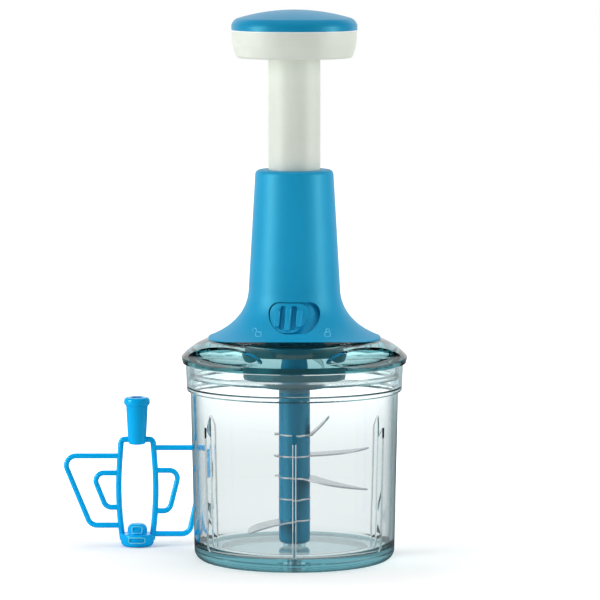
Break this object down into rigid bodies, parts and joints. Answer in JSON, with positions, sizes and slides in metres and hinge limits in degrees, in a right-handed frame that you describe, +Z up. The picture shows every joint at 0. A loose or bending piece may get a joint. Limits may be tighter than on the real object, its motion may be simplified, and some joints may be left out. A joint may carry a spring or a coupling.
{
  "type": "plunger food chopper",
  "caption": "Hand-pressed food chopper: clear bowl and lid, flared tower with a sprung plunger knob that spins a bladed shaft, and a separate mixing paddle.",
  "frame": {"origin": "on the surface that the bowl stands on, on the blade shaft's axis", "axes": "+Z up along the plunger and blade shaft; -Y is the front, where the lock button is; +X is to the right as seen from the front"},
  "size_m": [0.2164, 0.1404, 0.3412],
  "materials": {
    "clear_bowl": "clear moulded plastic with a faint blue-green tint, polished",
    "clear_lid": "clear moulded plastic tinted teal, polished",
    "seal_silicone": "translucent silicone, satin",
    "teal_shell": "teal-blue moulded plastic, satin",
    "teal_cap": "teal-blue moulded plastic, glossy",
    "teal_dark": "dark teal moulded plastic, satin",
    "white_body": "warm white moulded plastic, satin gloss",
    "blue_shaft": "deep blue moulded plastic, satin",
    "bright_blue": "bright blue moulded plastic, glossy",
    "inner_plastic": "natural acetal plastic, matte",
    "blade_steel": "stainless steel strip, ground edge",
    "bright_steel": "stainless or zinc-plated steel, bright",
    "bush_bronze": "sintered bronze, dull",
    "bumper_rubber": "black rubber, matte"
  },
  "bodies": {
    "bowl": {"bowl": "clear_bowl", "pivot_pin": "bright_steel"},
    "head": {"lid": "clear_lid", "lid_seal": "seal_silicone", "tower_housing": "teal_shell", "tower_bush": "inner_plastic", "tower_screws": "bright_steel", "base_plate": "teal_dark", "spindle_bush": "bush_bronze", "thrust_washer": "bright_steel", "hub_housing": "teal_dark", "hub_screws": "bright_steel", "hub_bush": "inner_plastic", "return_spring": "bright_steel"},
    "plunger": {"plunger_tube": "white_body", "stop_bumper": "bumper_rubber", "drive_nut": "inner_plastic", "knob_body": "white_body", "knob_cap": "teal_cap", "knob_screws": "bright_steel"},
    "lock": {"lock_ring": "inner_plastic", "lock_button": "teal_shell"},
    "spindle": {"drive_spindle": "bright_steel", "clutch_star": "inner_plastic", "clutch_rollers": "bright_steel", "clutch_cover": "bright_steel", "spindle_screw": "bright_steel"},
    "blades": {"clutch_ring": "teal_dark", "drive_coupling": "teal_dark", "core_rod": "bright_steel", "shaft_head": "blue_shaft", "shaft_spacer_1": "blue_shaft", "shaft_spacer_2": "blue_shaft", "shaft_spacer_3": "blue_shaft", "shaft_spacer_4": "blue_shaft", "shaft_foot": "blue_shaft", "foot_bush": "bush_bronze", "blade_1": "blade_steel", "blade_2": "blade_steel", "blade_3": "blade_steel", "blade_4": "blade_steel", "blade_5": "blade_steel"},
    "paddle": {"mixing_paddle": "bright_blue"}
  },
  "joints": [
    {"name": "head_lift", "type": "slide", "parent": "bowl", "child": "head", "axis": [0, 0, 1], "range_m": [0, 0.125]},
    {"name": "plunger_press", "type": "slide", "parent": "head", "child": "plunger", "axis": [0, 0, 1], "range_m": [-0.055, 0], "stiffness_N_per_m": 300, "springref_m": 0.025, "deforming": ["return_spring"]},
    {"name": "screw_spin", "type": "hinge", "parent": "head", "child": "spindle", "pos_m": [0, 0, 0.144], "axis": [0, 0, 1], "range_deg": [0, 540]},
    {"name": "blade_spin", "type": "hinge", "parent": "spindle", "child": "blades", "pos_m": [0, 0, 0.12], "axis": [0, 0, 1], "continuous": true},
    {"name": "lock_turn", "type": "hinge", "parent": "head", "child": "lock", "pos_m": [0, 0, 0.152], "axis": [0, 0, 1], "range_deg": [0, 13.2]},
    {"name": "paddle_lift", "type": "slide", "parent": "bowl", "child": "paddle", "axis": [0, 0, 1], "range_m": [0, 0.1]}
  ],
  "couplings": [
    {"joint": "screw_spin", "follows": "plunger_press", "rad_per_m": -171.36}
  ]
}
